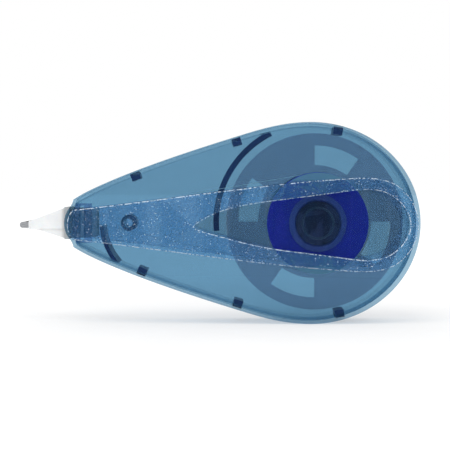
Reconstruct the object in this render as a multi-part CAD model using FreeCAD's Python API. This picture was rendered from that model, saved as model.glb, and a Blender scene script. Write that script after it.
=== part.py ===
import FreeCAD, Part
import math
import os

# Correction tape dispenser: a clear teardrop case with two reels side by side on one axle, and a
# white nose that carries the tape over a small roller. All sizes are in millimetres.
#
# The model is built about the reel axis. X runs from the tip (-X) to the round end (+X), Y runs
# from the front face (-Y) to the back face (+Y), and Z is up. On export every sub-part is moved
# so that the origin is the bottom centre of the whole dispenser.

Vector = FreeCAD.Vector
ALONG_Y = Vector(0, 1, 0)

# Case: teardrop outline, a half ellipse round the reels that runs into two long flanks
HALF_HEIGHT = 24.2
ROUND_END_CENTRE_X = -1.7
ROUND_END_LENGTH = 26.2
FLANK = [(-18.7, 21.0), (-37.9, 14.7), (-52.3, 9.0), (-58.6, 5.7)]
NOSE_NECK_X = -59.4
NOSE_NECK_Z = 3.9
NOSE_NECK_HOLLOW = 0.13
NOSE_DOME_X = -60.85
NOSE_FLANK_TANGENT = FreeCAD.Vector(-0.84, 0, -0.54)
FACE_Y = 7.6
WALL = 1.0
INNER_Y = FACE_Y - WALL
OUTER_EDGE_RADIUS = 0.7
SEAM_BEVEL = 0.15

# Grip pad, window and the frame below them, on both faces
PAD_CENTRE_Z = -0.35
PAD_EDGE = [(-58.6, 3.6), (-36.2, 6.35), (-13.3, 9.25), (6.7, 11.1), (18.6, 9.5)]
PAD_FRONT_X = -60.0
PAD_END_X = 23.9
WINDOW_EDGE = [(-26.0, 2.0), (-11.0, 5.6), (5.5, 7.75), (17.2, 7.0)]
WINDOW_FRONT_X = -29.4
WINDOW_END_X = 21.8
FRAME_THICKNESS = 0.4
FRAME_ROUND_RADIUS = 12.1
PAD_THICKNESS = 0.7
PAD_EDGE_RADIUS = 0.45
WINDOW_THICKNESS = 0.75
PAD_FIT_GAP = 0.05

# Snap pegs that pin the two halves together, as (x, angle of the outline) along each flank
PEG_LENGTH = 2.2
PEG_DEPTH = 1.8
PEG_SKIN = 0.25
PEG_HALF_WIDTH = 3.4
PEG_PLACES = [(-44.4, 1, 22.0), (-19.8, 1, 17.0), (5.2, 1, -9.0),
              (-42.9, -1, -22.0), (-19.5, -1, -17.0), (5.7, -1, 9.0)]

# Walls that keep the tape in its lane
WALL_CLEARANCE = 0.05
GUARD_RADIUS = 24.5
GUARD_THICKNESS = 1.4
GUARD_FROM_DEG = 117.0
GUARD_TO_DEG = 185.0
GUARD_FRONT_Y = 1.2
GUIDE_WALL = [(-52.3, -0.9), (-50.9, -6.2), (-47.5, -11.0)]
GUIDE_WALL_THICKNESS = 0.95
GUIDE_WALL_FRONT_Y = -2.8

# Guide roller on its moulded post, between two shoulders
GUIDE_X = -45.6
GUIDE_RADIUS = 1.95
GUIDE_BORE = 1.10
POST_RADIUS = 1.05
SHOULDER_RADIUS = 1.6
SHOULDER_GAP = 0.05
GUIDE_HALF_WIDTH = 3.1

# Tape
TAPE_WIDTH = 5.0
TAPE_THICKNESS = 0.1
TAPE_GAP = 0.1
STRAIGHT_RUN = 6.0          # each run stays this far in its lane before it drifts to the other lane

# Reel axle and its cap
AXLE_RADIUS = 2.6
AXLE_FOOT_RADIUS = 4.6
AXLE_FOOT_Y = 6.2
CAP_RADIUS = 5.3
CAP_BACK_Y = -5.8
CAP_GROOVE_RADIUS = 3.7
CAP_GROOVE_WIDTH = 0.35
CAP_GROOVE_DEPTH = 0.25

# Supply reel, in the front half
SUPPLY_FLANGE_RADIUS = 12.2
SUPPLY_FLANGE_FRONT_Y = -5.65
SUPPLY_LANE = (-5.1, 0.0)
SUPPLY_COLLAR_RADIUS = 6.8
SUPPLY_COLLAR_BORE = 5.6
SUPPLY_COLLAR_FRONT_Y = -6.2
SUPPLY_DRUM_RADIUS = 6.0
SUPPLY_DRUM_WALL = 0.8
HUB_BORE = 2.65
HUB_RADIUS = 3.6
HUB_END_Y = 5.95
DIVIDER_BACK_Y = 0.35
SUPPLY_ROLL_RADIUS = 11.9

# Take-up reel, in the back half
TAKE_UP_BORE = 3.65
TAKE_UP_HUB_RADIUS = 4.6
TAKE_UP_WEB = (2.2, 2.8)
TAKE_UP_HUB_BACK_Y = 3.2
TAKE_UP_DRUM_FRONT_Y = 0.55
TAKE_UP_DRUM_RADIUS = 12.0
TAKE_UP_DRUM_WALL = 0.8
TAKE_UP_FLANGE = (5.75, 6.25)
TAKE_UP_FLANGE_RADIUS = 22.0
TAKE_UP_FLANGE_BORE = 6.8
FLANGE_WINDOW = (14.1, 19.0)
FLANGE_WINDOW_DEG = 35.0
FLANGE_WINDOW_STARTS_DEG = [55.0, 145.0, 235.0, 325.0]
FILM_ROLL_RADIUS = 12.4

# Slip clutch between the reels
CLUTCH_RING = (6.6, 9.4)
CLUTCH_RING_FRONT_Y = 0.45
SPRING_RADII = (5.6, 10.2)
SPRING_SPAN = (2.9, 5.3)
SPRING_THICKNESS = 0.3
SPRING_FLAT = 1.2
RETAINER_RADIUS = 6.2
RETAINER_FRONT_Y = 5.3

# White nose piece: two side plates, a core between them and a flange in the mouth of the case
TIP_FLANGE = (-60.95, -59.75)
TIP_FLANGE_HALF_HEIGHT = 3.85
TIP_FLANGE_HALF_WIDTH = 5.6
TIP_PLATE_INNER_Y = 2.7
TIP_PLATE_OUTER_Y = 3.3
TIP_PLATE = [(-53.4, 3.4), (-60.95, 3.7), (-69.9, 0.35), (-69.9, -1.2), (-67.0, -1.85),
             (-60.95, -3.8), (-53.4, -3.4)]
TIP_CORE = [(-57.6, 2.2), (-60.95, 2.5), (-69.3, 0.5), (-69.3, -1.3), (-60.95, -2.6), (-57.6, -2.3)]
TIP_BAND = (-67.4, -60.95)
TIP_BAND_Z = (-1.45, 0.0)
TIP_BAND_HEIGHT = 0.25
MOUTH_CLEARANCE = 0.1

# Roller at the very tip, on a pin in a steel fork
TIP_ROLLER_X = -71.35
TIP_ROLLER_Z = -0.5
TIP_ROLLER_RADIUS = 0.5
TIP_ROLLER_BORE = 0.30
TIP_ROLLER_HALF_WIDTH = 2.65
TIP_PIN_RADIUS = 0.27
FORK_EAR_RADIUS = 0.72
FORK_EAR_Y = (2.75, 3.1)
FORK_BAR = (-70.5, -69.3)
FORK_BAR_Z = (-1.1, 0.2)
FORK_TONGUE_X = -66.5
FORK_TONGUE_HALF_WIDTH = 1.8
FORK_TONGUE_Z = (-0.65, -0.25)

# Socket that holds the nose piece inside the case
SOCKET_HALF_HEIGHT = 4.7
SOCKET_BARS = [(-58.9, -57.3), (-56.1, -54.5)]
SOCKET_RAIL_THICKNESS = 0.5

# Bottom centre of the whole dispenser, which becomes the origin
TIP_FRONT_X = TIP_ROLLER_X - FORK_EAR_RADIUS
ROUND_END_X = ROUND_END_CENTRE_X + ROUND_END_LENGTH
ORIGIN = Vector((TIP_FRONT_X + ROUND_END_X) / 2, 0, -HALF_HEIGHT)


# ---------------------------------------------------------------- shape helpers

def at(x, z):
    """Point of a flat outline, which is always drawn in the plane Y = 0."""
    return Vector(x, 0, z)


def polar(radius, degrees):
    """Point at an angle from +X, counter-clockwise as seen from the front."""
    angle = math.radians(degrees)
    return at(radius * math.cos(angle), radius * math.sin(angle))


def smooth(points, first_tangent=None, last_tangent=None):
    """Edge of a smooth curve through points."""
    curve = Part.BSplineCurve()
    if first_tangent is None:
        curve.interpolate(Points=points)
    else:
        curve.interpolate(Points=points, InitialTangent=first_tangent, FinalTangent=last_tangent)
    return curve.toShape()


def mirrored_z(point):
    return at(point.x, -point.z)


def arc(first, middle, last):
    return Part.Arc(first, middle, last).toShape()


def polygon(corners):
    points = [at(x, z) for x, z in corners]
    return Part.makePolygon(points + points[:1])


def slab(wire, y_from, y_to):
    """Solid of a flat outline between two planes of constant Y."""
    face = Part.Face(wire)
    face.translate(Vector(0, y_from, 0))
    return face.extrude(Vector(0, y_to - y_from, 0))


def box(x_span, y_span, z_span):
    size = [high - low for low, high in (x_span, y_span, z_span)]
    return Part.makeBox(*size, Vector(x_span[0], y_span[0], z_span[0]))


def disc(radius, y_from, y_to, x=0.0, z=0.0):
    return Part.makeCylinder(radius, y_to - y_from, Vector(x, y_from, z), ALONG_Y)


def ring(outer, inner, y_from, y_to, x=0.0, z=0.0):
    return disc(outer, y_from, y_to, x, z).cut(disc(inner, y_from, y_to, x, z))


def join(solids):
    """One clean solid from pieces that overlap or touch."""
    whole = solids[0]
    for solid in solids[1:]:
        whole = whole.fuse(solid)
    return whole.removeSplitter()


def mirrored_y(shape):
    return shape.mirror(Vector(0, 0, 0), ALONG_Y)


def edges_in_plane(shape, y):
    """Edges that lie wholly in the plane of one Y."""
    def lies_there(edge):
        bounds = edge.BoundBox
        return abs(bounds.YMin - y) < 1e-4 and abs(bounds.YMax - y) < 1e-4
    return [edge for edge in shape.Edges if lies_there(edge)]


def ring_sector(outer, inner, from_deg, to_deg, y_from, y_to):
    """Part of a ring between two angles."""
    middle = (from_deg + to_deg) / 2
    edges = [
        arc(polar(outer, from_deg), polar(outer, middle), polar(outer, to_deg)),
        Part.makeLine(polar(outer, to_deg), polar(inner, to_deg)),
        arc(polar(inner, to_deg), polar(inner, middle), polar(inner, from_deg)),
        Part.makeLine(polar(inner, from_deg), polar(outer, from_deg)),
    ]
    return slab(Part.Wire(edges), y_from, y_to)


def ribbon(path, width, thickness):
    """Thin strip along a path, with its width along Y."""
    sections = []
    for index, point in enumerate(path):
        before = path[max(index - 1, 0)]
        after = path[min(index + 1, len(path) - 1)]
        along = Vector(after.x - before.x, 0, after.z - before.z).normalize()
        up = Vector(-along.z, 0, along.x) * (thickness / 2)
        side = Vector(0, width / 2, 0)
        corners = [point + up + side, point + up - side, point - up - side, point - up + side]
        sections.append(Part.makePolygon(corners + corners[:1]))
    return Part.makeLoft(sections, True, True)


# ---------------------------------------------------------------- outlines

def inset_curve(edge, inset, steps):
    """Smooth copy of an edge, moved to the right of its direction as seen from the front."""
    curve = edge.Curve
    first, last = edge.ParameterRange
    points = []
    for index in range(steps + 1):
        parameter = first + (last - first) * index / steps
        tangent = Vector(*curve.tangent(parameter)[0])
        points.append(curve.value(parameter) + tangent.cross(ALONG_Y).normalize() * inset)
    return smooth(points)


def case_outline(inset=0.0):
    """Closed teardrop outline of the case, or of its cavity when it is inset by the wall."""
    length = ROUND_END_LENGTH - inset
    height = HALF_HEIGHT - inset
    centre = at(ROUND_END_CENTRE_X, 0)
    ellipse = Part.Ellipse(centre + at(length, 0), centre + at(0, height), centre)
    round_end = Part.ArcOfEllipse(ellipse, -math.pi / 2, math.pi / 2).toShape()
    flank_points = [at(ROUND_END_CENTRE_X, HALF_HEIGHT)] + [at(x, z) for x, z in FLANK]
    flank = smooth(flank_points, Vector(-1, 0, 0), NOSE_FLANK_TANGENT)
    if inset:
        flank = inset_curve(flank, inset, 2 * len(FLANK))
    corner = flank.Vertexes[-1].Point
    neck_end = at(NOSE_NECK_X + inset * 0.75, NOSE_NECK_Z - inset * 0.65)
    neck = arc(corner, (corner + neck_end) / 2 + at(NOSE_NECK_HOLLOW, 0), neck_end)
    dome = arc(neck_end, at(NOSE_DOME_X + inset, 0), mirrored_z(neck_end))
    half = [flank, neck]
    edges = [round_end, dome] + half + [edge.mirror(Vector(0, 0, 0), Vector(0, 0, 1)) for edge in half]
    return Part.Wire(Part.__sortEdges__(edges))


def grip_outline():
    """Long pad outline: two smooth edges, a round back end and a blunt front end."""
    centre = PAD_CENTRE_Z
    upper = [at(x, centre + z) for x, z in PAD_EDGE]
    lower = [at(x, centre - z) for x, z in reversed(PAD_EDGE)]
    side = smooth(upper + [at(PAD_END_X, centre)] + lower)
    front = arc(lower[-1], at(PAD_FRONT_X, centre), upper[0])
    return Part.Wire([side, front])


def window_outline(inset=0.0):
    """Closed teardrop outline of the window, or of its pane when it is inset by the fit gap."""
    centre = PAD_CENTRE_Z
    upper = [at(x, centre + z - inset) for x, z in WINDOW_EDGE]
    lower = [at(x, centre - z + inset) for x, z in reversed(WINDOW_EDGE)]
    ends = at(WINDOW_FRONT_X + inset, centre), at(WINDOW_END_X - inset, centre)
    curve = Part.BSplineCurve()
    curve.interpolate(Points=[ends[0]] + upper + [ends[1]] + lower, PeriodicFlag=True)
    return Part.Wire([curve.toShape()])


# ---------------------------------------------------------------- case

def pegs():
    """Six pegs set into the case wall along its edge."""
    outer = Part.Face(case_outline())
    placed = []
    for x, side, tilt in PEG_PLACES:
        upright = Part.makeLine(at(x, 0), at(x, side * 2 * HALF_HEIGHT))
        edge_z = upright.common(outer).BoundBox.ZMax if side > 0 else upright.common(outer).BoundBox.ZMin
        peg = box((-PEG_LENGTH / 2, PEG_LENGTH / 2), (-PEG_HALF_WIDTH, PEG_HALF_WIDTH),
                  (-PEG_SKIN - PEG_DEPTH, -PEG_SKIN))
        if side < 0:
            peg = peg.mirror(Vector(0, 0, 0), Vector(0, 0, 1))
        peg.rotate(Vector(0, 0, 0), ALONG_Y, -tilt)
        peg.translate(at(x, edge_z))
        placed.append(peg)
    return placed


def cavity(clearance=0.0):
    """Hollow of the whole case. With a clearance it trims the walls that stand in it."""
    return slab(case_outline(WALL + clearance), -INNER_Y, INNER_Y)


def case_half():
    """Front half of the case: a clear tray, open at the seam."""
    body = slab(case_outline(), -FACE_Y, 0)
    body = body.makeFillet(OUTER_EDGE_RADIUS, edges_in_plane(body, -FACE_Y))
    body = body.makeChamfer(SEAM_BEVEL, edges_in_plane(body, 0))
    mouth = box((NOSE_DOME_X - WALL, NOSE_NECK_X + 2 * WALL),
                (-TIP_FLANGE_HALF_WIDTH - MOUTH_CLEARANCE, 0),
                (-TIP_FLANGE_HALF_HEIGHT - MOUTH_CLEARANCE, TIP_FLANGE_HALF_HEIGHT + MOUTH_CLEARANCE))
    half = body.cut(cavity()).cut(mouth)
    for peg in pegs():
        half = half.cut(peg)
    return half


def front_shell():
    """Front half, with a shoulder that stops the guide roller."""
    shoulder = ring(SHOULDER_RADIUS, POST_RADIUS + SHOULDER_GAP,
                    -INNER_Y, -GUIDE_HALF_WIDTH - SHOULDER_GAP, GUIDE_X)
    return join([case_half(), shoulder])


def back_shell():
    """Back half, with the stepped post of the guide roller moulded on it."""
    post = disc(POST_RADIUS, -INNER_Y, INNER_Y + WALL / 2, GUIDE_X)
    shoulder = disc(SHOULDER_RADIUS, GUIDE_HALF_WIDTH + SHOULDER_GAP, INNER_Y, GUIDE_X)
    return join([mirrored_y(case_half()), post, shoulder])


def window_frame():
    """Plate below the grip and round the window, with a round part over the reels."""
    top = -FACE_Y - FRAME_THICKNESS
    plate = slab(grip_outline(), top, -FACE_Y)
    round_part = disc(FRAME_ROUND_RADIUS, top, -FACE_Y)
    opening = slab(window_outline(), top, -FACE_Y)
    return join([plate, round_part]).cut(opening)


def window_pane():
    """Clear pane that fills the opening of the frame and stays below the grip."""
    return slab(window_outline(PAD_FIT_GAP), -FACE_Y - WINDOW_THICKNESS, -FACE_Y)


def grip():
    """Soft pad with the window opening, rounded along both edges."""
    bottom = -FACE_Y - FRAME_THICKNESS
    top = bottom - PAD_THICKNESS
    pad = slab(grip_outline(), top, bottom).cut(slab(window_outline(), top, bottom))
    return pad.makeFillet(PAD_EDGE_RADIUS, edges_in_plane(pad, top))


def reel_guard():
    half = GUARD_THICKNESS / 2
    wall = ring_sector(GUARD_RADIUS + half, GUARD_RADIUS - half, GUARD_FROM_DEG, GUARD_TO_DEG,
                       GUARD_FRONT_Y, INNER_Y)
    return wall.common(cavity(WALL_CLEARANCE))


def guide_wall():
    """Curved wall below the guide roller; the film runs over its upper end."""
    top, middle, bottom = [at(x, z) for x, z in GUIDE_WALL]
    circle = Part.Arc(top, middle, bottom).toShape().Curve
    centre = circle.Center
    half = GUIDE_WALL_THICKNESS / 2

    def moved(point, distance):
        return point + (point - centre).normalize() * distance

    edges = [
        arc(moved(top, half), moved(middle, half), moved(bottom, half)),
        Part.makeLine(moved(bottom, half), moved(bottom, -half)),
        arc(moved(bottom, -half), moved(middle, -half), moved(top, -half)),
        Part.makeLine(moved(top, -half), moved(top, half)),
    ]
    return slab(Part.Wire(edges), GUIDE_WALL_FRONT_Y, INNER_Y).common(cavity(WALL_CLEARANCE))


# ---------------------------------------------------------------- axle, reels and clutch

def reel_axle():
    """Post through both reels, with a wide foot on the back half of the case."""
    post = disc(AXLE_RADIUS, CAP_BACK_Y, AXLE_FOOT_Y)
    foot = disc(AXLE_FOOT_RADIUS, AXLE_FOOT_Y, INNER_Y)
    return join([post, foot])


def axle_cap():
    """Round cap on the front end of the axle, with a ring groove in its face."""
    cap = disc(CAP_RADIUS, -INNER_Y, CAP_BACK_Y)
    half = CAP_GROOVE_WIDTH / 2
    groove = ring(CAP_GROOVE_RADIUS + half, CAP_GROOVE_RADIUS - half, -INNER_Y, -INNER_Y + CAP_GROOVE_DEPTH)
    return cap.cut(groove)


def supply_reel():
    """Front flange, collar, hub tube and the drum that the tape is wound on."""
    flange = ring(SUPPLY_FLANGE_RADIUS, HUB_BORE, SUPPLY_FLANGE_FRONT_Y, SUPPLY_LANE[0])
    collar = ring(SUPPLY_COLLAR_RADIUS, SUPPLY_COLLAR_BORE, SUPPLY_COLLAR_FRONT_Y, SUPPLY_LANE[0])
    hub = ring(HUB_RADIUS, HUB_BORE, SUPPLY_FLANGE_FRONT_Y, HUB_END_Y)
    drum = ring(SUPPLY_DRUM_RADIUS, SUPPLY_DRUM_RADIUS - SUPPLY_DRUM_WALL,
                SUPPLY_FLANGE_FRONT_Y, SUPPLY_LANE[1])
    return join([flange, collar, hub, drum])


def supply_divider():
    """Disc behind the tape roll, which keeps it off the film."""
    return ring(SUPPLY_FLANGE_RADIUS, HUB_RADIUS, SUPPLY_LANE[1], DIVIDER_BACK_Y)


def tape_roll():
    middle = sum(SUPPLY_LANE) / 2
    half = TAPE_WIDTH / 2
    return ring(SUPPLY_ROLL_RADIUS, SUPPLY_DRUM_RADIUS, middle - half, middle + half)


def take_up_reel():
    """Drum for the used film, with a wide flange that has four windows."""
    drum_inner = TAKE_UP_DRUM_RADIUS - TAKE_UP_DRUM_WALL
    drum = ring(TAKE_UP_DRUM_RADIUS, drum_inner, TAKE_UP_DRUM_FRONT_Y, TAKE_UP_FLANGE[1])
    web = ring(TAKE_UP_DRUM_RADIUS, TAKE_UP_BORE, *TAKE_UP_WEB)
    hub = ring(TAKE_UP_HUB_RADIUS, TAKE_UP_BORE, TAKE_UP_WEB[0], TAKE_UP_HUB_BACK_Y)
    flange = ring(TAKE_UP_FLANGE_RADIUS, TAKE_UP_FLANGE_BORE, *TAKE_UP_FLANGE)
    for start in FLANGE_WINDOW_STARTS_DEG:
        opening = ring_sector(FLANGE_WINDOW[1], FLANGE_WINDOW[0], start, start + FLANGE_WINDOW_DEG,
                              *TAKE_UP_FLANGE)
        flange = flange.cut(opening)
    return join([drum, web, hub, flange])


def film_lane_y():
    return (TAKE_UP_DRUM_FRONT_Y + TAKE_UP_FLANGE[0]) / 2


def film_roll():
    half = TAPE_WIDTH / 2
    return ring(FILM_ROLL_RADIUS, TAKE_UP_DRUM_RADIUS, film_lane_y() - half, film_lane_y() + half)


def clutch_ring():
    """Felt ring that drags the take-up reel along and slips when the film is tight."""
    return ring(CLUTCH_RING[1], CLUTCH_RING[0], CLUTCH_RING_FRONT_Y, TAKE_UP_WEB[0])


def clutch_spring():
    """Cone-shaped spring washer that presses the take-up reel against the felt ring."""
    front, back = SPRING_SPAN
    wide = Part.makeCone(SPRING_RADII[1], SPRING_RADII[0], back - front - SPRING_THICKNESS,
                         Vector(0, front, 0), ALONG_Y)
    outside = wide.copy()
    outside.translate(Vector(0, SPRING_THICKNESS, 0))
    rim = disc(SPRING_RADII[1], front, front + SPRING_THICKNESS)
    shell = join([rim, outside]).cut(wide)
    return shell.cut(disc(SPRING_RADII[0] - SPRING_FLAT, front, back))


def spring_retainer():
    """Snap ring on the end of the hub tube that holds the spring in."""
    return ring(RETAINER_RADIUS, HUB_RADIUS, RETAINER_FRONT_Y, HUB_END_Y)


# ---------------------------------------------------------------- nose piece and tip roller

def tip_body():
    """White nose piece with two open lanes for the tape, above and below its core."""
    plates = [slab(polygon(TIP_PLATE), TIP_PLATE_INNER_Y, TIP_PLATE_OUTER_Y),
              slab(polygon(TIP_PLATE), -TIP_PLATE_OUTER_Y, -TIP_PLATE_INNER_Y)]
    core = slab(polygon(TIP_CORE), -TIP_PLATE_INNER_Y, TIP_PLATE_INNER_Y)
    flange = box(TIP_FLANGE, (-TIP_FLANGE_HALF_WIDTH, TIP_FLANGE_HALF_WIDTH),
                 (-TIP_FLANGE_HALF_HEIGHT, TIP_FLANGE_HALF_HEIGHT))
    lanes = box(TIP_FLANGE, (-TIP_PLATE_INNER_Y, TIP_PLATE_INNER_Y), (TIP_PLATE[5][1] + 0.3, TIP_PLATE[1][1] - 0.3))
    band_outer = TIP_PLATE_OUTER_Y + TIP_BAND_HEIGHT
    bands = [box(TIP_BAND, (TIP_PLATE_OUTER_Y, band_outer), TIP_BAND_Z),
             box(TIP_BAND, (-band_outer, -TIP_PLATE_OUTER_Y), TIP_BAND_Z)]
    body = join(plates + [flange.cut(lanes), core] + bands)
    return body.cut(tip_fork())


def fork_tongue():
    """Flat tongue of the fork, pressed into the core of the nose piece."""
    return box((FORK_TONGUE_X - 3.0, FORK_TONGUE_X), (-FORK_TONGUE_HALF_WIDTH, FORK_TONGUE_HALF_WIDTH),
               FORK_TONGUE_Z)


def tip_fork():
    """Steel fork that carries the roller pin between two ears."""
    bar = box(FORK_BAR, (-FORK_EAR_Y[1], FORK_EAR_Y[1]), FORK_BAR_Z)
    pieces = [bar, fork_tongue()]
    for y_from, y_to in (FORK_EAR_Y, (-FORK_EAR_Y[1], -FORK_EAR_Y[0])):
        arm = box((TIP_ROLLER_X, FORK_BAR[1]), (y_from, y_to),
                  (TIP_ROLLER_Z - FORK_EAR_RADIUS, TIP_ROLLER_Z + FORK_EAR_RADIUS))
        pieces.append(arm)
        pieces.append(disc(FORK_EAR_RADIUS, y_from, y_to, TIP_ROLLER_X, TIP_ROLLER_Z))
    hole = disc(TIP_PIN_RADIUS, -FORK_EAR_Y[1], FORK_EAR_Y[1], TIP_ROLLER_X, TIP_ROLLER_Z)
    return join(pieces).cut(hole)


def tip_pin():
    return disc(TIP_PIN_RADIUS, -FORK_EAR_Y[1], FORK_EAR_Y[1], TIP_ROLLER_X, TIP_ROLLER_Z)


def tip_roller():
    return ring(TIP_ROLLER_RADIUS, TIP_ROLLER_BORE, -TIP_ROLLER_HALF_WIDTH, TIP_ROLLER_HALF_WIDTH,
                TIP_ROLLER_X, TIP_ROLLER_Z)


def tip_socket():
    """Two upright bars between the front wall and the tail of the nose piece, joined at their ends."""
    depth = (-INNER_Y, -TIP_PLATE_OUTER_Y)
    pieces = [box(bar, depth, (-SOCKET_HALF_HEIGHT, SOCKET_HALF_HEIGHT)) for bar in SOCKET_BARS]
    between = (SOCKET_BARS[0][1], SOCKET_BARS[1][0])
    for side in (-1, 1):
        heights = sorted((side * SOCKET_HALF_HEIGHT, side * (SOCKET_HALF_HEIGHT - SOCKET_RAIL_THICKNESS)))
        pieces.append(box(between, depth, tuple(heights)))
    return join(pieces).common(cavity(WALL_CLEARANCE))


# ---------------------------------------------------------------- guide roller and tape runs

def guide_roller():
    return ring(GUIDE_RADIUS, GUIDE_BORE, -GUIDE_HALF_WIDTH, GUIDE_HALF_WIDTH, GUIDE_X)


def tangent_point(point, radius, side):
    """Where a straight run from point meets a circle about the reel axis; side is 1 above, -1 below."""
    distance = math.hypot(point.x, point.z)
    heading = math.degrees(math.atan2(point.z, point.x))
    opening = math.degrees(math.acos(radius / distance))
    return polar(radius, heading - side * opening)


def run_off(start, end, lane_y):
    """The first two points of a run from start to end, in the lane of its start."""
    start.y = lane_y
    heading = Vector(end.x - start.x, 0, end.z - start.z).normalize()
    return [start, start + heading * STRAIGHT_RUN]


def roller_wrap(from_deg, to_deg, steps):
    """Points round the tip roller at the middle of the tape's thickness."""
    radius = TIP_ROLLER_RADIUS + TAPE_GAP + TAPE_THICKNESS / 2
    centre = at(TIP_ROLLER_X, TIP_ROLLER_Z)
    step = (to_deg - from_deg) / steps
    return [centre + polar(radius, from_deg + step * index) for index in range(steps + 1)]


def above(corner, side):
    """Point of a tape run that passes a corner of the nose core."""
    x, z = corner
    return at(x, z + side * (TAPE_GAP + TAPE_THICKNESS / 2))


def outgoing_tape():
    """White tape from the top of the supply roll to the tip and round the roller."""
    shelf = [above(TIP_CORE[0], 1), above(TIP_CORE[1], 1)]
    start = tangent_point(shelf[0], SUPPLY_ROLL_RADIUS + TAPE_GAP + TAPE_THICKNESS / 2, 1)
    first_run = run_off(start, shelf[0], sum(SUPPLY_LANE) / 2)
    last_run = reversed(run_off(shelf[0], start, 0))
    path = [*first_run, *last_run, shelf[1], *roller_wrap(100.0, 262.0, 12)]
    return ribbon(path, TAPE_WIDTH, TAPE_THICKNESS)


def return_film():
    """Clear film from the tip, over the guide wall and under the guide roller, to the take-up roll."""
    clear = TAPE_GAP + TAPE_THICKNESS / 2
    under_guide = at(GUIDE_X, -GUIDE_RADIUS - 1.5 * clear)
    over_wall = at(GUIDE_WALL[0][0], GUIDE_WALL[0][1] + 3 * clear)
    shelf = [above(TIP_CORE[4], -1), above(TIP_CORE[5], -1)]
    end = tangent_point(under_guide, FILM_ROLL_RADIUS + clear, -1)
    last_run = reversed(run_off(end, under_guide, film_lane_y()))
    first = roller_wrap(262.0, 266.0, 1)[-1]
    return ribbon([first] + shelf + [over_wall, under_guide, *last_run], TAPE_WIDTH, TAPE_THICKNESS)


# ---------------------------------------------------------------- export

def build():
    """Every sub-part of the dispenser, by name."""
    pad = grip()
    frame = window_frame()
    pane = window_pane()
    return {
        "front_shell": front_shell(),
        "back_shell": back_shell(),
        "front_window_frame": frame,
        "back_window_frame": mirrored_y(frame),
        "front_window": pane,
        "back_window": mirrored_y(pane),
        "front_grip": pad,
        "back_grip": mirrored_y(pad),
        "snap_pegs": Part.makeCompound(pegs()),
        "reel_guard": reel_guard(),
        "guide_wall": guide_wall(),
        "reel_axle": reel_axle(),
        "axle_cap": axle_cap(),
        "supply_reel": supply_reel(),
        "supply_divider": supply_divider(),
        "tape_roll": tape_roll(),
        "take_up_reel": take_up_reel(),
        "film_roll": film_roll(),
        "clutch_ring": clutch_ring(),
        "clutch_spring": clutch_spring(),
        "spring_retainer": spring_retainer(),
        "tip_body": tip_body(),
        "tip_fork": tip_fork(),
        "tip_pin": tip_pin(),
        "tip_roller": tip_roller(),
        "tip_socket": tip_socket(),
        "guide_roller": guide_roller(),
        "outgoing_tape": outgoing_tape(),
        "return_film": return_film(),
    }


os.makedirs("parts", exist_ok=True)
for name, shape in build().items():
    shape.translate(ORIGIN * -1)
    shape.exportStep(os.path.join("parts", name + ".step"))
    bounds = shape.BoundBox
    print(f"{name:20s} solids {len(shape.Solids)} valid {shape.isValid()} volume {shape.Volume:9.2f}"
          f"  x {bounds.XMin:7.2f} {bounds.XMax:7.2f}  y {bounds.YMin:6.2f} {bounds.YMax:6.2f}"
          f"  z {bounds.ZMin:6.2f} {bounds.ZMax:6.2f}")
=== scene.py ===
import math

import bpy
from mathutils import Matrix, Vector


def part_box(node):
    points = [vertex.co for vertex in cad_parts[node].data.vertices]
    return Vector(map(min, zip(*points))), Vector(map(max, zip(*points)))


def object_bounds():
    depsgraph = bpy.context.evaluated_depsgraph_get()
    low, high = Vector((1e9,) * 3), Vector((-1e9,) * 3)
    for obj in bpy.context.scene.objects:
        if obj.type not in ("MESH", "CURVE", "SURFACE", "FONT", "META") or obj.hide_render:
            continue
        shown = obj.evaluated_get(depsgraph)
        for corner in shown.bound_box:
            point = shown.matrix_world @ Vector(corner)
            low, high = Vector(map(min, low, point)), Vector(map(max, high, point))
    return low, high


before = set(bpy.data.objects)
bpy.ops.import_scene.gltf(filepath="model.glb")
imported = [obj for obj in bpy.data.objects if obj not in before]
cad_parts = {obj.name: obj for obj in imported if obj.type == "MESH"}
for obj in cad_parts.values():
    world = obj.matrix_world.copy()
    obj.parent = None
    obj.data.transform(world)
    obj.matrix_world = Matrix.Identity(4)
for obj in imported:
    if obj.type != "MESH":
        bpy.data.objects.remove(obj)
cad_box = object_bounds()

# Looks of a correction tape dispenser: clear blue case, glitter grips, reels inside, white nose.
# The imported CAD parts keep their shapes, and each gets a node material here.

LOW, HIGH = cad_box
LENGTH = HIGH.x - LOW.x
HEIGHT = HIGH.z - LOW.z
MM = 0.001

# Light that passes one surface of each clear plastic
CASE_TINT = (0.600, 0.735, 0.815)
PANE_TINT = (0.855, 0.870, 0.880)
FRAME_TINT = (0.93, 0.95, 0.96)
GRIP_TINT = (0.860, 0.918, 0.980)
SMOKE_TINT = (0.775, 0.755, 0.805)
SOCKET_TINT = (0.68, 0.76, 0.88)
FILM_TINT = (0.93, 0.95, 0.96)
DIVIDER_TINT = (0.90, 0.92, 0.95)

# Colour of the same plastics where they don't let the light through
CASE_BODY = (0.115, 0.265, 0.400)
PANE_BODY = (0.06, 0.12, 0.24)
FRAME_BODY = (0.065, 0.190, 0.285)
SMOKE_BODY = (0.16, 0.20, 0.40)
SOCKET_BODY = (0.05, 0.10, 0.30)
FILM_BODY = (0.70, 0.75, 0.80)
DIVIDER_BODY = (0.35, 0.42, 0.60)

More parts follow.
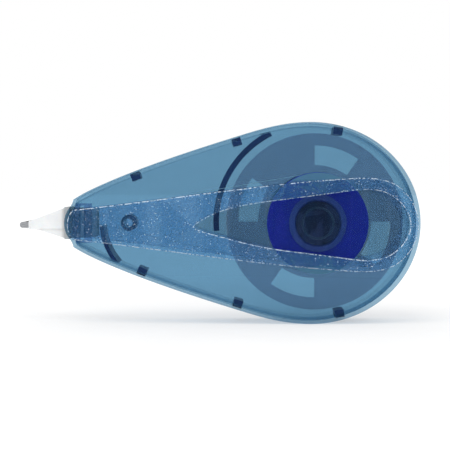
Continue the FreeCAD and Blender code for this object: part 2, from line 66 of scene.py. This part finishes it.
# Extremes between which each solid colour drifts, and the colour of the rings
GRIP_BODIES = (0.070, 0.270, 0.520), (0.110, 0.340, 0.600)
NAVY = (0.032, 0.040, 0.135), (0.042, 0.052, 0.165)
HUB = (0.030, 0.034, 0.100), (0.038, 0.044, 0.120)
HUB_RING_COLOUR = (0.12, 0.14, 0.22)
DEEP_BLUE = (0.040, 0.028, 0.570), (0.052, 0.038, 0.650)
COLLAR_COLOUR = (0.150, 0.150, 0.500)
NOSE_WHITES = (0.81, 0.81, 0.805), (0.75, 0.755, 0.76)
# Colour of the painted shadow on the nose where it enters the case
NOSE_PAINTED_SHADOW = (0.36, 0.37, 0.38)
TAPE_WHITES = (0.80, 0.80, 0.78), (0.70, 0.70, 0.685)
STEEL_GREYS = (0.20, 0.21, 0.22), (0.46, 0.47, 0.49)
FELT_GREYS = (0.55, 0.55, 0.53), (0.75, 0.75, 0.72)
# Colour of the glitter flakes, and of the painted highlight along the grip's edges
FLAKE_AND_HIGHLIGHT_COLOUR = (0.90, 0.95, 1.00)
WHITE = (1.0, 1.0, 1.0)

# Clear plastic: how steeply a face lies to the view where its body colour comes in
RIM_BLEND = 0.35
RIM = (0.68, 0.86)
CASE_EDGE = 0.62
# Painted refraction: the round part of the window frames shows more of its teal body colour in place of the
# bright surroundings seen through the sloped boss, and less of it below the grips
FRAME_PAINTED_REFRACTION = 0.62
PAINTED_REFRACTION_BELOW_GRIP = 0.65

# Glitter: flakes to the millimetre, and the share of light that a bare flake sends back, which the painted
# highlight along the grip's edges also gets
FINE_FLAKES_PER_MM = 4.6
COARSE_FLAKES_PER_MM = 3.0
COARSE_SEED = 0.013
FLAKE_SHARE = 0.50
FLAKE_METAL = 0.35

MOULD_GRAIN_PER_MM = 3.0

# Round part of the window frames, about the reels' axle, that a painted refraction of the bright
# surroundings makes more opaque
REEL_LOW, REEL_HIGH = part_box("supply_reel")
REEL_AXIS = tuple((REEL_LOW + REEL_HIGH) / 2)
PAINTED_REFRACTION_RADIUS = 1.02 * (REEL_HIGH.z - REEL_LOW.z) / 2

# Rings that show on the hub and on the reel round it, as (inner, outer) radius
CAP_RADIUS = (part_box("axle_cap")[1].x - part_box("axle_cap")[0].x) / 2
CAP_RING = (0.66 * CAP_RADIUS, 0.74 * CAP_RADIUS)
COLLAR_RING = (1.03 * CAP_RADIUS, 1.30 * CAP_RADIUS)
RING_SOFTNESS = 0.1 * MM

# The nose darkens over this span, measured from the mouth of the case: a painted shadow where it enters the
# case
CASE_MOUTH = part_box("front_shell")[0].x
NOSE_PAINTED_SHADOW_SPAN = (CASE_MOUTH - 1.2 * MM, CASE_MOUTH - 0.2 * MM)

# Camera: level with the middle of the dispenser, a little above it, square to the front face
CAMERA_DISTANCE = 0.2985
CAMERA_LENS = 100.0
CAMERA_CLIP = 0.01
CAMERA_ELEVATION = math.radians(2.0)
AIM_ALONG = 0.5152
AIM_UP = 0.492

# Lamps, as (offset from the middle of the dispenser, diameter in metres, watts)
TOP_LAMP = (Vector((-0.1, -0.25, 0.55)), 0.35, 1.0)
LEFT_LAMP = (Vector((-0.55, -0.30, 0.25)), 0.30, 0.8)

# A ray crosses many clear faces here, more than the default bounces let through
CLEAR_BOUNCES = 64
ALL_BOUNCES = 16

# Floor: it glows white, and takes a shadow near the dispenser only
FLOOR_SIZE = 60 * LENGTH
FLOOR_GAP = 0.02 * MM
FLOOR_GREYS = (0.76, 0.79)
FLOOR_GLOW = 1.12
FLOOR_SHADOW_SHARE = 0.60
FLOOR_FADE = (0.55 * LENGTH, 1.5 * LENGTH)


# ---------------------------------------------------------------- node helpers

class Shading:
    """Short calls for one material's node tree."""

    def __init__(self, name):
        self.material = bpy.data.materials.new(name)
        self.material.use_nodes = True
        self.tree = self.material.node_tree
        self.tree.nodes.clear()
        self.output = self.tree.nodes.new("ShaderNodeOutputMaterial")
        self.place = self.tree.nodes.new("ShaderNodeTexCoord").outputs["Object"]

    def node(self, kind, inputs=None, **settings):
        """New node with its settings, and with each input linked or set."""
        new = self.tree.nodes.new("ShaderNode" + kind)
        for key, value in settings.items():
            setattr(new, key, value)
        for key, value in (inputs or {}).items():
            self.set(new.inputs[key], value)
        return new

    def set(self, socket, value):
        """Links a socket to another, or gives it a value."""
        if isinstance(value, bpy.types.NodeSocket):
            self.tree.links.new(value, socket)
        elif isinstance(value, tuple) and len(value) == 3 and socket.type == "RGBA":
            socket.default_value = (*value, 1.0)
        else:
            socket.default_value = value

    def noise(self, per_mm, detail=3.0, roughness=0.55, stretch=None):
        """Soft noise of about this many spots to the millimetre."""
        vector = self.place
        if stretch:
            vector = self.node("Mapping", {"Vector": vector, "Scale": stretch}).outputs["Vector"]
        inputs = {"Vector": vector, "Scale": per_mm / MM, "Detail": detail, "Roughness": roughness}
        return self.node("TexNoise", inputs).outputs["Fac"]

    def flakes(self, per_mm, seed):
        """Random grey per flake, and how far each point is from its flake's middle."""
        vector = self.node("VectorMath", {0: self.place, 1: (seed, seed, seed)}, operation="ADD")
        cells = self.node("TexVoronoi", {"Vector": vector.outputs[0], "Scale": per_mm / MM})
        random = self.node("SeparateColor", {"Color": cells.outputs["Color"]})
        return random.outputs["Red"], cells.outputs["Distance"]

    def off_axis(self):
        """Distance of each point from the reels' axle, in metres."""
        offset = self.node("VectorMath", {0: self.place, 1: REEL_AXIS}, operation="SUBTRACT")
        flat = self.node("VectorMath", {0: offset.outputs[0], 1: (1.0, 0.0, 1.0)}, operation="MULTIPLY")
        return self.node("VectorMath", {0: flat.outputs[0]}, operation="LENGTH").outputs["Value"]

    def painted_refraction_mask(self, below_grip):
        """Mask of the painted refraction: 1 on the parts of the round plates beside the grips, and
        below_grip nearer the middle.
        """
        disc = self.ramp(self.off_axis(), PAINTED_REFRACTION_RADIUS, PAINTED_REFRACTION_RADIUS * 0.97)
        height = self.node("SeparateXYZ", {"Vector": self.place}).outputs["Z"]
        rise = self.maths("ABSOLUTE", self.maths("SUBTRACT", height, REEL_AXIS[2]))
        beside = self.ramp(rise, PAINTED_REFRACTION_RADIUS * 0.80, PAINTED_REFRACTION_RADIUS * 0.84, below_grip, 1.0)
        return self.maths("MULTIPLY", disc, beside)

    def ring(self, inner, outer):
        """1 between two radii about the reels' axle, 0 elsewhere."""
        inside = self.ramp(self.off_axis(), inner - RING_SOFTNESS, inner)
        outside = self.ramp(self.off_axis(), outer + RING_SOFTNESS, outer)
        return self.maths("MULTIPLY", inside, outside)

    def ramp(self, fac, low, high, start=0.0, end=1.0):
        """start at low, end at high, straight between them and level beyond."""
        inputs = {"Value": fac, "From Min": low, "From Max": high, "To Min": start, "To Max": end}
        return self.node("MapRange", inputs, clamp=True).outputs["Result"]

    def maths(self, operation, first, second=0.0):
        return self.node("Math", {0: first, 1: second}, operation=operation).outputs[0]

    def blend(self, fac, first, second):
        """Colour between two colours. Mix has one set of sockets per type: 6 and 7 are its colours."""
        mix = self.node("Mix", data_type="RGBA")
        self.set(mix.inputs["Factor"], fac)
        self.set(mix.inputs[6], first)
        self.set(mix.inputs[7], second)
        return mix.outputs[2]

    def bump(self, height, distance_mm, strength=1.0):
        inputs = {"Height": height, "Distance": distance_mm * MM, "Strength": strength}
        return self.node("Bump", inputs).outputs["Normal"]

    def principled(self, **inputs):
        """Principled shader, with base_color for its socket "Base Color" and so on."""
        named = {}
        for key, value in inputs.items():
            named[key.replace("_", " ").title().replace("Ior", "IOR")] = value
        return self.node("BsdfPrincipled", named).outputs[0]

    def mix_shaders(self, fac, first, second):
        return self.node("MixShader", {0: fac, 1: first, 2: second}).outputs[0]

    def finish(self, shader):
        self.tree.links.new(shader, self.output.inputs["Surface"])
        return self.material


def dress(material, *nodes):
    """Gives CAD nodes this material."""
    for name in nodes:
        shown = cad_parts[name]
        shown.data.materials.clear()
        shown.data.materials.append(material)


# ---------------------------------------------------------------- materials

def clear_plastic(name, tint, body, amount, roughness, edge_body=0.20, painted_refraction=0.0):
    """See-through plastic: tinted light through it and a share of body colour that grows at the rim.

    amount is that share on faces square to the view and edge_body on faces edge-on to it.
    The last argument makes the round part of a window frame that much more opaque, a painted refraction of
    the bright surroundings.
    """
    s = Shading(name)
    rim = s.ramp(s.node("LayerWeight", {"Blend": RIM_BLEND}).outputs["Facing"], *RIM)
    cloud = s.ramp(s.noise(0.35, 2.0), 0.35, 0.7, 0.0, 0.35)
    veiled = s.blend(cloud, tint, tuple(channel * 0.97 for channel in tint))
    through = s.node("BsdfTransparent", {"Color": veiled}).outputs[0]
    scratches = s.noise(1.6, 5.0, 0.7, (1.0, 1.0, 6.0))
    rough = s.ramp(scratches, 0.3, 0.75, roughness * 0.8, roughness * 1.35)
    normal = s.bump(s.noise(0.22, 2.0), 0.02, 0.5)
    surface = s.principled(base_color=body, roughness=rough, normal=normal, specular_ior_level=0.25)
    share = s.ramp(rim, 0.0, 1.0, amount, edge_body)
    # Painted refraction: more body colour over the round part of the window frames
    if painted_refraction:
        painted_refraction_share = s.maths("MULTIPLY", s.painted_refraction_mask(PAINTED_REFRACTION_BELOW_GRIP), painted_refraction)
        share = s.maths("ADD", share, painted_refraction_share)
    return s.finish(s.mix_shaders(share, through, surface))


def glitter_grip():
    """Blue see-through pad full of fine silver flakes, with a painted highlight of bright flakes along its
    rounded edges.
    """
    s = Shading("glitter_grip")
    fine_random, fine_distance = s.flakes(FINE_FLAKES_PER_MM, 0.0)
    coarse_random, coarse_distance = s.flakes(COARSE_FLAKES_PER_MM, COARSE_SEED)
    fine = s.maths("MULTIPLY", s.ramp(fine_random, 0.82, 0.95, 0.0, 0.6), s.ramp(fine_distance, 0.50, 0.28))
    coarse = s.maths("MULTIPLY", s.ramp(coarse_random, 0.93, 0.97), s.ramp(coarse_distance, 0.42, 0.24))
    sparkle = s.maths("MAXIMUM", fine, coarse)
    normal = s.node("NewGeometry").outputs["Normal"]
    across = s.node("SeparateXYZ", {"Vector": normal}).outputs["Y"]
    slope = s.maths("ABSOLUTE", across)
    # Painted highlight: bright flakes on the rounded edges of the grip, picked out by how far the face
    # tilts from the flat side
    edge = s.maths("MULTIPLY", s.ramp(slope, 0.97, 0.80), s.ramp(slope, 0.25, 0.45))
    edge_highlight_spots = s.ramp(coarse_random, 0.35, 0.55)
    flakes_and_painted_highlight = s.maths("MAXIMUM", sparkle, s.maths("MULTIPLY", edge, edge_highlight_spots))
    flake_and_highlight_share = s.maths("MULTIPLY", flakes_and_painted_highlight, FLAKE_SHARE)
    milk = s.ramp(s.noise(0.9, 4.0, 0.7), 0.35, 0.75)
    grain = s.ramp(s.noise(4.5, 2.0, 0.6), 0.35, 0.65)
    colour = s.blend(flakes_and_painted_highlight, s.blend(grain, *GRIP_BODIES), FLAKE_AND_HIGHLIGHT_COLOUR)
    through = s.node("BsdfTransparent", {"Color": GRIP_TINT}).outputs[0]
    surface = s.principled(
        base_color=colour, roughness=s.ramp(grain, 0.0, 1.0, 0.38, 0.50), ior=1.45,
        metallic=s.maths("MULTIPLY", flakes_and_painted_highlight, FLAKE_METAL), normal=s.bump(fine_random, 0.012, 0.35))
    share = s.maths("ADD", s.ramp(milk, 0.0, 1.0, 0.045, 0.080), flake_and_highlight_share)
    return s.finish(s.mix_shaders(share, through, surface))


def moulded(name, colours, roughness, ring=None, ring_colour=None):
    """Opaque moulded plastic: faint cloudy colour, a fine spark-eroded grain and perhaps a paler ring."""
    s = Shading(name)
    cloud = s.ramp(s.noise(0.5, 3.0), 0.3, 0.7)
    grain = s.noise(MOULD_GRAIN_PER_MM, 4.0, 0.65)
    rough = s.ramp(grain, 0.3, 0.7, roughness * 0.85, roughness * 1.2)
    normal = s.bump(grain, 0.006, 0.5)
    colour = s.blend(cloud, *colours)
    if ring:
        colour = s.blend(s.ring(*ring), colour, ring_colour)
    shader = s.principled(base_color=colour, roughness=rough, normal=normal, ior=1.35)
    return s.finish(shader)


def white_nose():
    """White satin plastic, a little uneven, with a painted shadow where it enters the case."""
    s = Shading("white_nose")
    grain = s.noise(3.5, 4.0, 0.6)
    shade = s.ramp(s.noise(0.3, 3.0, 0.6), 0.35, 0.75)
    along = s.node("SeparateXYZ", {"Vector": s.place}).outputs["X"]
    # Painted shadow: the nose turns grey close to the mouth of the case
    colour = s.blend(s.ramp(along, *NOSE_PAINTED_SHADOW_SPAN), s.blend(shade, *NOSE_WHITES), NOSE_PAINTED_SHADOW)
    shader = s.principled(
        base_color=colour, roughness=s.ramp(grain, 0.3, 0.7, 0.30, 0.42), ior=1.48,
        subsurface_weight=0.08, normal=s.bump(grain, 0.006, 0.4))
    return s.finish(shader)


def paper_tape():
    """Matt white coating with a fine uneven grain."""
    s = Shading("paper_tape")
    grain = s.noise(2.4, 5.0, 0.7)
    colour = s.blend(s.ramp(grain, 0.3, 0.75), *TAPE_WHITES)
    shader = s.principled(base_color=colour, roughness=0.75, normal=s.bump(grain, 0.02, 0.6))
    return s.finish(shader)


def polished_steel(name, per_mm, stretch):
    """Drawn or turned steel with fine lines along one way."""
    s = Shading(name)
    lines = s.noise(per_mm, 4.0, 0.7, stretch)
    colour = s.blend(s.ramp(lines, 0.3, 0.7), *STEEL_GREYS)
    shader = s.principled(
        base_color=colour, metallic=1.0, roughness=s.ramp(lines, 0.3, 0.7, 0.16, 0.30),
        normal=s.bump(lines, 0.004, 0.5))
    return s.finish(shader)


def felt():
    """Pale matt fibres with a little sheen."""
    s = Shading("felt")
    fibres = s.noise(5.0, 6.0, 0.8, (1.0, 3.0, 1.0))
    colour = s.blend(s.ramp(fibres, 0.3, 0.7), *FELT_GREYS)
    shader = s.principled(base_color=colour, roughness=0.95, sheen_weight=0.4, normal=s.bump(fibres, 0.08))
    return s.finish(shader)


def dress_clear_parts():
    """Materials of the see-through CAD nodes."""
    dress(clear_plastic("clear_case", CASE_TINT, CASE_BODY, 0.030, 0.09, edge_body=CASE_EDGE),
          "front_shell", "back_shell")
    dress(clear_plastic("window_pane", PANE_TINT, PANE_BODY, 0.020, 0.16),
          "front_window", "back_window")
    # The window frames carry the painted refraction of the bright surroundings on their round part
    dress(clear_plastic("window_frame", FRAME_TINT, FRAME_BODY, 0.03, 0.30, painted_refraction=FRAME_PAINTED_REFRACTION),
          "front_window_frame", "back_window_frame")
    dress(clear_plastic("smoke_reel", SMOKE_TINT, SMOKE_BODY, 0.045, 0.20), "take_up_reel")
    dress(clear_plastic("socket_blue", SOCKET_TINT, SOCKET_BODY, 0.12, 0.22), "tip_socket")
    dress(clear_plastic("clear_film", FILM_TINT, FILM_BODY, 0.08, 0.18), "film_roll", "return_film")
    dress(clear_plastic("divider_disc", DIVIDER_TINT, DIVIDER_BODY, 0.10, 0.25), "supply_divider")
    dress(glitter_grip(), "front_grip", "back_grip")


def dress_solid_parts():
    """Materials of the opaque CAD nodes."""
    dress(moulded("navy_plastic", NAVY, 0.32),
          "snap_pegs", "reel_guard", "guide_wall", "guide_roller", "spring_retainer")
    dress(moulded("hub_plastic", HUB, 0.28, CAP_RING, HUB_RING_COLOUR), "reel_axle", "axle_cap")
    dress(moulded("deep_blue_plastic", DEEP_BLUE, 0.30, COLLAR_RING, COLLAR_COLOUR), "supply_reel")
    dress(white_nose(), "tip_body")
    dress(paper_tape(), "tape_roll", "outgoing_tape")
    dress(polished_steel("tip_steel", 3.0, (0.3, 3.0, 3.0)), "tip_fork", "tip_pin", "tip_roller")
    dress(polished_steel("spring_steel", 2.0, (1.0, 8.0, 1.0)), "clutch_spring")
    dress(felt(), "clutch_ring")


# ---------------------------------------------------------------- camera, light and floor

def add_camera():
    """Looks square at the front face from a little above the middle."""
    front_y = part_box("front_shell")[0].y
    aim = Vector((LOW.x + AIM_ALONG * LENGTH, front_y, LOW.z + AIM_UP * HEIGHT))
    back = Vector((0.0, -math.cos(CAMERA_ELEVATION), math.sin(CAMERA_ELEVATION)))
    data = bpy.data.cameras.new("camera")
    data.lens = CAMERA_LENS
    data.clip_start = CAMERA_CLIP
    camera = bpy.data.objects.new("camera", data)
    camera.location = aim + back * CAMERA_DISTANCE
    camera.rotation_euler = (-back).to_track_quat("-Z", "Y").to_euler()
    bpy.context.scene.collection.objects.link(camera)
    bpy.context.scene.camera = camera


def add_area_light(name, offset, diameter, power):
    """Round lamp that faces the middle of the dispenser."""
    data = bpy.data.lights.new(name, "AREA")
    data.shape = "DISK"
    data.size = diameter
    data.energy = power
    light = bpy.data.objects.new(name, data)
    light.location = (LOW + HIGH) / 2 + offset
    light.rotation_euler = (-offset).to_track_quat("-Z", "Y").to_euler()
    bpy.context.scene.collection.objects.link(light)


def floor_material():
    """Glow mixed with a matt grey that takes the shadow, which fades out away from the dispenser."""
    s = Shading("floor")
    fleck = s.ramp(s.noise(0.05, 4.0), 0.3, 0.7, *FLOOR_GREYS)
    grey = s.node("CombineColor", {"Red": fleck, "Green": fleck, "Blue": fleck}).outputs[0]
    surface = s.node("BsdfDiffuse", {"Color": grey}).outputs[0]
    glow = s.node("Emission", {"Color": WHITE, "Strength": FLOOR_GLOW}).outputs[0]
    reach = s.node("VectorMath", {0: s.place}, operation="LENGTH").outputs["Value"]
    share = s.ramp(reach, *FLOOR_FADE, FLOOR_SHADOW_SHARE, 0.0)
    return s.finish(s.mix_shaders(share, glow, surface))


def add_floor():
    """Pale floor just under the dispenser, nearly white apart from the soft shadow."""
    bpy.ops.mesh.primitive_plane_add(size=FLOOR_SIZE, location=(0.0, 0.0, LOW.z - FLOOR_GAP))
    floor = bpy.context.object
    floor.name = "floor"
    floor.data.materials.append(floor_material())


def light_scene():
    """White surroundings, a soft lamp above and another to the left."""
    world = bpy.data.worlds.new("studio")
    world.use_nodes = True
    background = world.node_tree.nodes["Background"]
    background.inputs["Color"].default_value = (*WHITE, 1.0)
    background.inputs["Strength"].default_value = 1.0
    bpy.context.scene.world = world
    add_area_light("top_lamp", *TOP_LAMP)
    add_area_light("left_lamp", *LEFT_LAMP)
    bpy.context.scene.view_settings.view_transform = "Standard"
    bpy.context.scene.cycles.transparent_max_bounces = CLEAR_BOUNCES
    bpy.context.scene.cycles.max_bounces = ALL_BOUNCES


add_camera()
light_scene()
add_floor()
dress_clear_parts()
dress_solid_parts()
